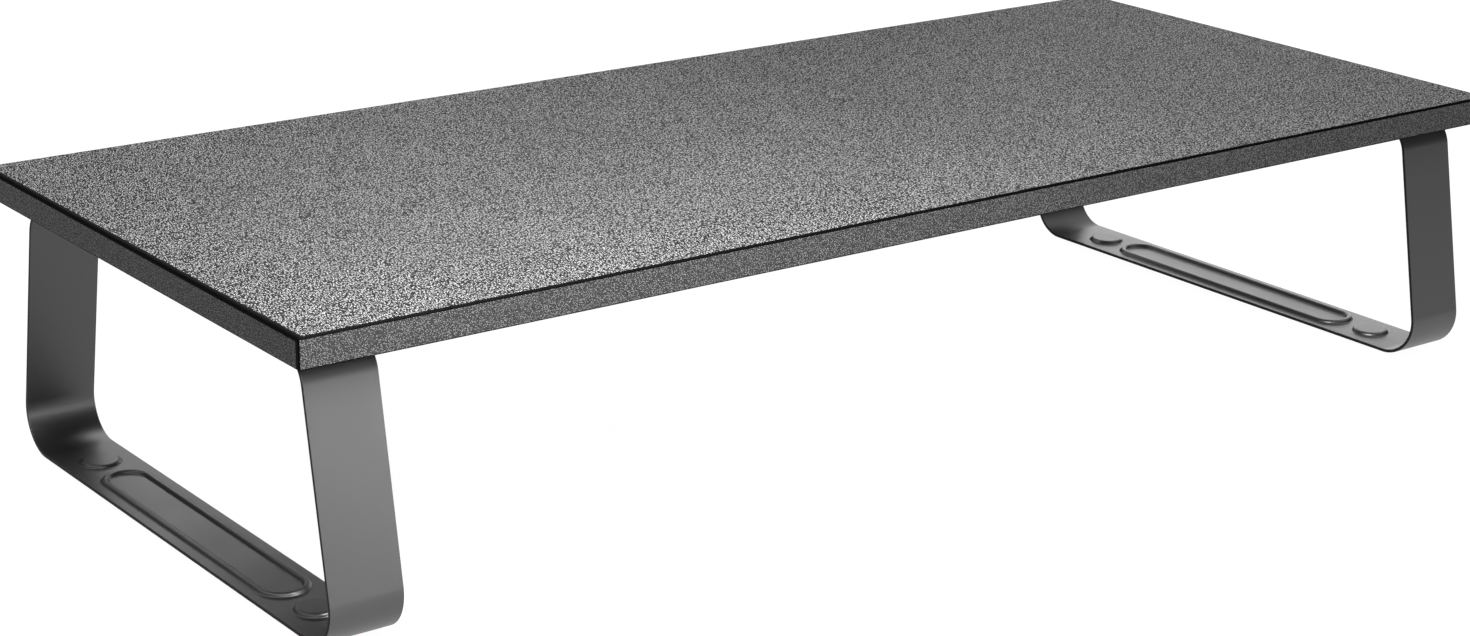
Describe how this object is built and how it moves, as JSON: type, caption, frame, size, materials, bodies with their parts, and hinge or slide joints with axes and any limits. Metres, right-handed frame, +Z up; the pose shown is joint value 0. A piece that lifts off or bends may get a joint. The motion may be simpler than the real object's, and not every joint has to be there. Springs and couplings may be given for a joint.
{
  "type": "desktop monitor riser",
  "caption": "Desktop riser: a grained, edge-banded board on two bent flat-strip steel legs with pressed beads and rubber pads.",
  "frame": {"origin": "on the desk, under the middle of the object's own bounding box", "axes": "+X along the board to the user's right, -Y to the user, +Z up"},
  "size_m": [0.612, 0.261, 0.1216],
  "materials": {
    "chipboard": "raw chipboard, sealed inside laminates and bands",
    "grained_laminate": "black laminate with a fine pebble grain and a soft sheen",
    "backing_laminate": "smooth matte black backing",
    "edge_band": "pebble-grained face, smooth black milled edges",
    "coated_steel": "satin dark grey powder coat",
    "pad_rubber": "matte black",
    "zinc_screw": "black zinc",
    "insert_brass": "bare turned brass"
  },
  "bodies": {
    "root": {"board_core": "chipboard", "top_laminate": "grained_laminate", "bottom_laminate": "backing_laminate", "front_edge_band": "edge_band", "rear_edge_band": "edge_band", "left_edge_band": "edge_band", "right_edge_band": "edge_band", "left_leg_frame": "coated_steel", "right_leg_frame": "coated_steel", "left_front_foot_pad": "pad_rubber", "left_rear_foot_pad": "pad_rubber", "right_front_foot_pad": "pad_rubber", "right_rear_foot_pad": "pad_rubber", "left_front_screws": "zinc_screw", "left_rear_screws": "zinc_screw", "right_front_screws": "zinc_screw", "right_rear_screws": "zinc_screw", "left_front_inserts": "insert_brass", "left_rear_inserts": "insert_brass", "right_front_inserts": "insert_brass", "right_rear_inserts": "insert_brass"}
  },
  "joints": []
}
